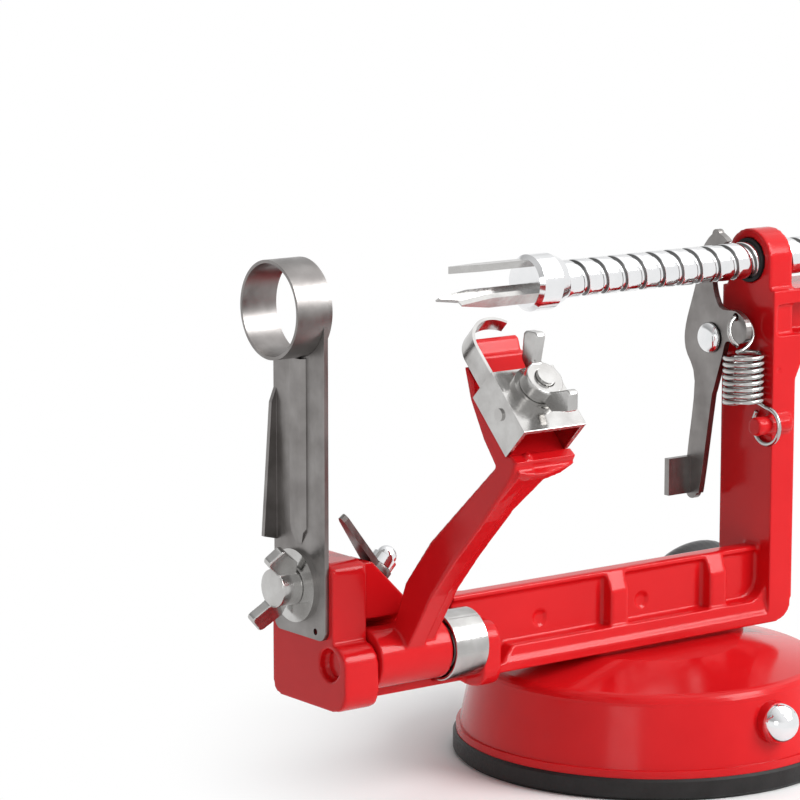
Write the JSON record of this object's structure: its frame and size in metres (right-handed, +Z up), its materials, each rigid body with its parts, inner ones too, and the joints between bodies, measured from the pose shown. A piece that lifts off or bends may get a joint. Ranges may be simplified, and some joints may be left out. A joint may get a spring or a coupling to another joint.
{
  "type": "apple peeler",
  "caption": "Hand-cranked apple peeler, slicer and corer with a red cast frame, chromed feed screw and round suction base.",
  "frame": {"origin": "centre of the round base, on the table", "axes": "+Z up; +X along the feed screw towards the crank; the peeling arm swings in front, towards -Y"},
  "size_m": [0.3323, 0.1329, 0.139],
  "materials": {
    "red_enamel": "glossy red enamel on cast metal",
    "bright_chrome": "bright chrome plate",
    "plain_steel": "stamped and lightly brushed steel",
    "zinc_plate": "satin zinc plate",
    "cup_rubber": "matt black rubber",
    "black_plastic": "moulded black plastic",
    "bush_plastic": "plain black bush"
  },
  "bodies": {
    "stand": {"main_frame": "red_enamel", "base_shell": "red_enamel", "suction_cup": "cup_rubber", "bed_bolts": "zinc_plate", "front_bush": "bush_plastic", "rear_bush": "bush_plastic", "pawl_pin": "bright_chrome", "pawl_spring": "zinc_plate", "arm_pivot_pin": "red_enamel", "spring_sleeve": "zinc_plate", "arm_spring": "plain_steel", "slicer_blade": "plain_steel", "corer_ring": "plain_steel", "slicer_washer": "zinc_plate", "catch_screw": "bright_chrome"},
    "shaft_carrier": {"crank_washer": "zinc_plate"},
    "shaft": {"feed_screw": "bright_chrome", "fork_hub": "bright_chrome", "fork_prongs": "zinc_plate", "crank_arm": "bright_chrome", "crank_set_screw": "zinc_plate", "grip_spindle": "bright_chrome", "spindle_cap": "bright_chrome"},
    "grip": {"crank_grip": "black_plastic"},
    "pawl": {"feed_pawl": "plain_steel"},
    "arm": {"peel_arm": "red_enamel", "blade_bracket": "zinc_plate", "peel_blade": "zinc_plate", "blade_rivet": "zinc_plate", "bracket_stud": "zinc_plate", "bracket_washer": "zinc_plate"},
    "arm_nut": {"bracket_wing_nut": "zinc_plate"},
    "wing_bolt": {"slicer_wing_bolt": "zinc_plate"},
    "catch": {"arm_catch": "plain_steel"},
    "lever": {"suction_lever": "zinc_plate", "lever_grip": "black_plastic", "lever_nut": "bright_chrome", "cross_shaft": "bright_chrome"},
    "suction_stud": {"cup_stud": "zinc_plate"}
  },
  "joints": [
    {"name": "shaft_feed", "type": "slide", "parent": "stand", "child": "shaft_carrier", "axis": [1, 0, 0], "range_m": [-0.0477, 0.0509]},
    {"name": "crank_turn", "type": "hinge", "parent": "shaft_carrier", "child": "shaft", "pos_m": [0.145, 0, 0.127], "axis": [1, 0, 0], "range_deg": [-2700, 2880]},
    {"name": "grip_spin", "type": "hinge", "parent": "shaft", "child": "grip", "pos_m": [0.18, 0, 0.049], "axis": [1, 0, 0], "continuous": true},
    {"name": "pawl_release", "type": "hinge", "parent": "stand", "child": "pawl", "pos_m": [0.0285, 0.0076, 0.106], "axis": [-1, 0, 0], "range_deg": [0, 12], "stiffness_Nm_per_rad": 0.3, "springref_deg": -11.46, "deforming": ["pawl_spring"]},
    {"name": "peel_arm_swing", "type": "hinge", "parent": "stand", "child": "arm", "pos_m": [-0.09, -0.0115, 0.0413], "axis": [1, 0, 0], "range_deg": [-10, 35], "stiffness_Nm_per_rad": 0.6, "deforming": ["arm_spring"]},
    {"name": "bracket_nut_turn", "type": "hinge", "parent": "arm", "child": "arm_nut", "pos_m": [-0.0843, -0.0572, 0.1123], "axis": [0, -0.7071, 0.7071], "continuous": true},
    {"name": "wing_bolt_turn", "type": "hinge", "parent": "stand", "child": "wing_bolt", "pos_m": [-0.115, 0.0004, 0.0592], "axis": [1, 0, 0], "continuous": true},
    {"name": "catch_turn", "type": "hinge", "parent": "stand", "child": "catch", "pos_m": [-0.0941, -0.007, 0.0612], "axis": [0.7071, 0, 0.7071], "range_deg": [-15, 10]},
    {"name": "suction_lever_swing", "type": "hinge", "parent": "stand", "child": "lever", "pos_m": [0.0015, 0.05, 0.017], "axis": [0, -1, 0], "range_deg": [0, 100]},
    {"name": "suction_lift", "type": "slide", "parent": "stand", "child": "suction_stud", "axis": [0, 0, 1], "range_m": [0, 0.00308]}
  ],
  "couplings": [
    {"joint": "shaft_feed", "follows": "crank_turn", "m_per_rad": 0.0010106},
    {"joint": "suction_lift", "follows": "suction_lever_swing", "m_per_rad": 0.0017556}
  ]
}
